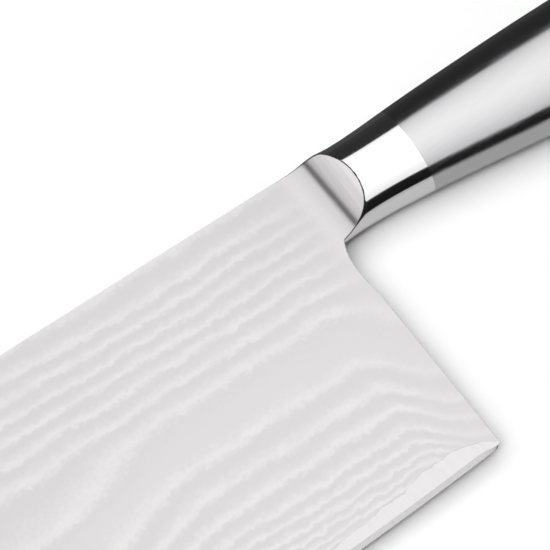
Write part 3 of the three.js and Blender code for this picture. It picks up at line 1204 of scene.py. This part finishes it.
@dataclass(frozen=True)
class SoftLight:
    """A rectangular lamp behind cloth, which falls off from its hot spot.

    Its size and its middle are in metres. The middle is measured from the heel end of the spine, and up from
    the lowest point of the knife. A level of 1 is white. Hot spot and reach are shares of its size.
    """

    name: str
    size: tuple
    middle: tuple
    aim: tuple
    level: float
    seen: Seen
    hot: tuple
    reach: tuple
    edge: float

    def build(self, knife: KnifeFrame) -> None:
        """Makes the lamp.

        Args:
            knife: The knife's axes.
        """
        wide, high = self.size
        data = bpy.data.lights.new(self.name, "AREA")
        data.shape = "RECTANGLE"
        data.size, data.size_y = self.size
        data.energy = self.level * math.pi * wide * high
        tree = empty_tree(data)
        across = add(tree, "NewGeometry", {}, out="Parametric")
        off_hot = add(tree, "VectorMath", {0: across, 1: (*self.hot, 0.0)}, operation="SUBTRACT")
        shares = add(tree, "VectorMath", {0: off_hot, 1: (*self.reach, 1.0)}, operation="DIVIDE")
        away = add(tree, "VectorMath", {0: shares}, out="Value", operation="LENGTH")
        fall = add(tree, "MapRange", {"Value": away, TO: (1.0, self.edge)}, **SMOOTH)
        add(tree, "OutputLight", {"Surface": add(tree, "Emission", {"Strength": fall})})
        made = show(self.name, data)
        behind, north, height = self.middle
        place = Vector((knife.heel_x + behind, knife.spine_y + north, height))
        turn = Vector(self.aim).to_track_quat("-Z", "Y").to_matrix().to_4x4()
        made.matrix_world = Matrix.Translation(place) @ turn
        made.visible_camera = False
        made.visible_diffuse = self.seen is Seen.ON_TABLE
        made.visible_glossy = self.seen is Seen.IN_STEEL


def glowing(name: str, near: str, far: str, axis: str = "Z", start: float = 0.0,
            fade: float = 1.0) -> bpy.types.Material:
    """Makes a glowing material that goes from one colour to another.

    Args:
        name: The material's name.
        near: The colour that it shows at the start.
        far: The colour that it ends with.
        axis: The axis along which it changes.
        start: Where the change starts, in metres.
        fade: How far the change takes.

    Returns:
        The new material.
    """
    made = bpy.data.materials.new(name)
    tree = empty_tree(made)
    place = add(tree, "SeparateXYZ", {0: add(tree, "TexCoord", {}, out="Object")}, out=axis)
    share = add(tree, "MapRange", {"Value": place, FROM: (start, start + fade)})
    shown = add(tree, "Mix", {"A": linear(near), "B": linear(far), "Factor": share}, **COLOURS)
    add(tree, "OutputMaterial", {"Surface": add(tree, "Emission", {"Color": shown})})
    return made


@dataclass
class Studio:
    """White table under one large soft light, with a dim room round it and a fill light at the blade's end.

    Sizes are in metres. The dark sheet, the card and the room only show as reflections in the steel.
    """

    knife: KnifeFrame
    lights: tuple = (
        SoftLight("overhead_softbox", size=(1.21, 1.766), middle=(0.115, -0.043, 0.75), aim=(0, 0, -1),
                  level=1.75, seen=Seen.IN_STEEL, hot=(0.5, 0.57), reach=(0.9, 0.5), edge=0.65),
        SoftLight("back_window", size=(4.2, 2.55), middle=(-0.9, 0.525, 2.4), aim=(0, 0, -1),
                  level=11.8, seen=Seen.ON_TABLE, hot=(0.5, 0.06), reach=(0.45, 0.3), edge=0.15),
        SoftLight("end_fill", size=(1.2, 0.9), middle=(-0.8, 0.3, 0.45), aim=(1, 0, 0),
                  level=1.58, seen=Seen.IN_STEEL, hot=(0.5, 0.0), reach=(1.0, 1.0), edge=0.64),
    )
    ambient: float = 0.25
    surround_colour: str = "#ffffff"
    # Where the knife's weight acts, in knife millimetres.
    balance: tuple = (-4.0, -21.5, 0.0)
    # A face that it can lie on has a normal whose z part is below this.
    facing_down: float = -0.5
    table_reach: float = 3.0
    table_colour: str = "#f2f2f2"
    # Painted shade: reflections see the table in this greyer colour, and the front card glows in it.
    table_painted_shade_in_steel: str = "#c8c8c8"
    sheet_start: float = -0.008
    sheet_depth: float = 3.5
    sheet_reach: float = 3.5
    sheet_lift: float = 0.0005
    # The dark sheet glows as a painted dark reflection, a little lighter near the knife as painted spill
    # light.
    sheet_painted_spill: str = "#525253"
    sheet_colour: str = "#3b3b3c"
    sheet_fade: float = 0.15
    card_distance: float = 0.8
    card_foot: float = -0.1
    card_height: float = 0.12
    room_radius: float = 3.5
    room_divisions: int = 4
    # The back of the room glows a little lighter near the table: painted spill light.
    back_painted_spill: str = "#3b3b3c"
    back_colour: str = "#333334"
    back_fade: float = 1.0
    front_colour: str = "#1a1a1b"

    def rest(self, pieces: list) -> Matrix:
        """Finds the plane that the knife lies on: the face of its hull that is under its middle.

        Args:
            pieces: All pieces of the knife.

        Returns:
            A matrix whose origin lies on the plane and whose z axis is square to it.
        """
        hull = bmesh.new()
        for piece in pieces:
            for vertex in piece.data.vertices:
                hull.verts.new(vertex.co)
        bmesh.ops.convex_hull(hull, input=hull.verts)
        hull.normal_update()
        middle = Vector(self.knife.place(np.array(self.balance)))
        feet = []
        for face in hull.faces:
            drop = (middle - face.verts[0].co).dot(face.normal)
            foot = middle - face.normal * drop
            if face.normal.z < self.facing_down and bmesh.geometry.intersect_face_point(face, foot):
                feet.append((-drop, foot, -face.normal))
        hull.free()
        _, origin, square = min(feet, key=lambda found: found[0])
        turn = Vector((0, 0, 1)).rotation_difference(square).to_matrix().to_4x4()
        return Matrix.Translation(origin) @ turn

    def laminate(self) -> bpy.types.Material:
        """Makes white laminate: a matt pale sheet that takes soft shadows.

        Steel mirrors the part of the table that lies nearer to the camera, out of the light. That greyer look
        is
        painted shade: reflections see the whole table in a greyer colour.

        Returns:
            The new material.
        """
        made = bpy.data.materials.new("white_laminate_matt")
        tree = empty_tree(made)
        mirrored = add(tree, "LightPath", {}, out="Is Glossy Ray")
        tones = {"A": linear(self.table_colour), "B": linear(self.table_painted_shade_in_steel)}
        tone = add(tree, "Mix", {**tones, "Factor": mirrored}, **COLOURS)
        add(tree, "OutputMaterial", {"Surface": add(tree, "BsdfDiffuse", {"Color": tone})})
        return made

    def sheets(self, rest: Matrix) -> list:
        """Makes the table, a dark sheet that gives the handle a dark back edge, and a low pale card in front.

        Args:
            rest: The plane that the knife lies on.

        Returns:
            The three of them.
        """
        spine_y, wide, reach = self.knife.spine_y, self.sheet_reach, self.table_reach
        start = (rest.inverted() @ Vector(self.knife.origin)).y + self.sheet_start
        lifted = rest @ Matrix.Translation((0, 0, self.sheet_lift))
        south = Matrix.Translation((0, spine_y - self.card_distance, 0))
        upright = south @ Matrix.Rotation(math.pi / 2, 4, "X")
        # Painted dark reflection: the sheet glows dark grey, lighter near the knife as painted spill light.
        paper = glowing("painted_dark_reflection", self.sheet_painted_spill, self.sheet_colour, "Y", spine_y, self.sheet_fade)
        pale = glowing("pale_card", self.table_painted_shade_in_steel, self.table_painted_shade_in_steel)
        rows = (
            ("table", self.laminate(), rest, (-reach, -reach), (reach, reach)),
            ("dark_sheet", paper, lifted, (-wide, start), (wide, start + self.sheet_depth)),
            ("front_card", pale, upright, (-wide, self.card_foot), (wide, self.card_height)),
        )
        made = []
        for name, material, plane, (west, low), (east, high) in rows:
            corners = ((west, low, 0), (east, low, 0), (east, high, 0), (west, high, 0))
            mesh = bpy.data.meshes.new(name)
            mesh.from_pydata([plane @ Vector(corner) for corner in corners], [], [(0, 1, 2, 3)])
            mesh.materials.append(material)
            made.append(show(name, mesh))
        return made

    def room(self) -> bpy.types.Object:
        """Makes the dim room, its back half lighter than its front, and lighter near the table as painted
        spill light.

        Returns:
            The room.
        """
        mesh = bpy.data.meshes.new("dim_room")
        shape = bmesh.new()
        bmesh.ops.create_icosphere(shape, subdivisions=self.room_divisions, radius=self.room_radius)
        shape.to_mesh(mesh)
        shape.free()
        mesh.materials.append(glowing("dim_room_back", self.back_painted_spill, self.back_colour, fade=self.back_fade))
        mesh.materials.append(glowing("dim_room_front", self.front_colour, self.front_colour))
        for face in mesh.polygons:
            face.material_index = int(face.center.y < 0)
        return show("dim_room", mesh)

    def world(self) -> None:
        """Makes a world that shows white to the camera and to reflections and adds a little even light."""
        made = bpy.data.worlds.new("white_surround")
        tree = empty_tree(made)
        rays = add(tree, "LightPath", {}).node.outputs
        seen = add(tree, "Math", {0: rays["Is Camera Ray"], 1: rays["Is Glossy Ray"]}, operation="MAXIMUM")
        seen = add(tree, "Math", {0: seen, 1: rays["Is Transmission Ray"]}, operation="MAXIMUM")
        level = add(tree, "MapRange", {"Value": seen, TO: (self.ambient, 1.0)})
        shown = add(tree, "Background", {"Color": linear(self.surround_colour), "Strength": level})
        add(tree, "OutputWorld", {"Surface": shown})
        bpy.context.scene.world = made

    def build(self, pieces: list) -> None:
        """Builds the table, the lights, the dim room and the world.

        Args:
            pieces: All pieces of the knife.
        """
        table, *others = self.sheets(self.rest(pieces))
        mirrored = [*others, self.room()]
        for made in mirrored:
            made.visible_camera = False
            made.visible_diffuse = False
            made.visible_shadow = False
        for light in self.lights:
            light.build(self.knife)
        self.world()


@dataclass
class PhotoCamera:
    """Long lens that looks down on the heel of the blade, as the photograph does."""

    knife: KnifeFrame
    azimuth: float = -34.58
    elevation: float = 67.58
    distance: float = 650.0
    target: tuple = (-15.48, -18.57, 0.0)
    lens: float = 187.0
    clip_start: float = 0.01

    def build(self) -> None:
        """Makes the scene's camera."""
        a, e = math.radians(self.azimuth), math.radians(self.elevation)
        back = Vector((math.sin(a) * math.cos(e), -math.cos(a) * math.cos(e), math.sin(e)))
        right = Vector((math.cos(a), math.sin(a), 0))
        up = back.cross(right)
        place = Vector(self.knife.place(np.array(self.target))) + back * self.distance * MM
        data = bpy.data.cameras.new("photo_camera")
        data.lens = self.lens
        data.clip_start = self.clip_start
        made = show("photo_camera", data)
        turn = Matrix((right, up, back)).transposed().to_4x4()
        made.matrix_world = Matrix.Translation(place) @ turn
        bpy.context.scene.camera = made


def main() -> None:
    """Builds the knife, the studio and the camera."""
    logging.basicConfig(level=logging.INFO, format="%(name)s: %(message)s")
    knife = KnifeFrame.from_core(Blade.length)
    form = HandleForm()
    blade = Blade(knife)
    bolster = Bolster(knife, form, blade)
    handle = Handle(knife, form)
    layered = LayeredSteel("layered_steel_acid_etched", "#b5b3b4", 0.3)
    ground = BrushedSteel("core_steel_fine_ground", "#c1bfc0", 0.34, Rub.DOWN_BLADE)
    whetted = BrushedSteel("core_steel_whetted", "#b1b0b1", 0.3, Rub.DOWN_BLADE, relief=0.02, streak=0.1)
    mirror = MirrorSteel("stainless_steel_mirror_buffed", "#e1e0e1", 0.08)
    hollow = HollowSteel("layered_steel_hollow_ground", "#b5b3b4", 0.3)
    # Painted shade: the crease is coloured dark, and low on the collar it stands in for a dark reflection.
    crease = BrushedSteel("painted_crease_shade_and_reflection", "#3a3a3c", 0.4)
    satin = BrushedSteel("stainless_steel_satin_brushed", "#b9b8b9", 0.17)
    turned = BrushedSteel("mild_steel_turned", "#9a9a9e", 0.4, Rub.ROUND_AXIS)
    blade.build(layered, ground, whetted)
    bolster.build(mirror, hollow, crease)
    handle.build(satin, turned)
    pieces = [*blade.pieces, *bolster.pieces, *handle.pieces]
    for piece in pieces:
        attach(piece, BODY)
        LOG.info("%s: %d faces", piece.name, len(piece.data.polygons))
    Studio(knife).build(pieces)
    PhotoCamera(knife).build()
    bpy.context.scene.view_settings.view_transform = "Standard"


if __name__ == "__main__":
    main()
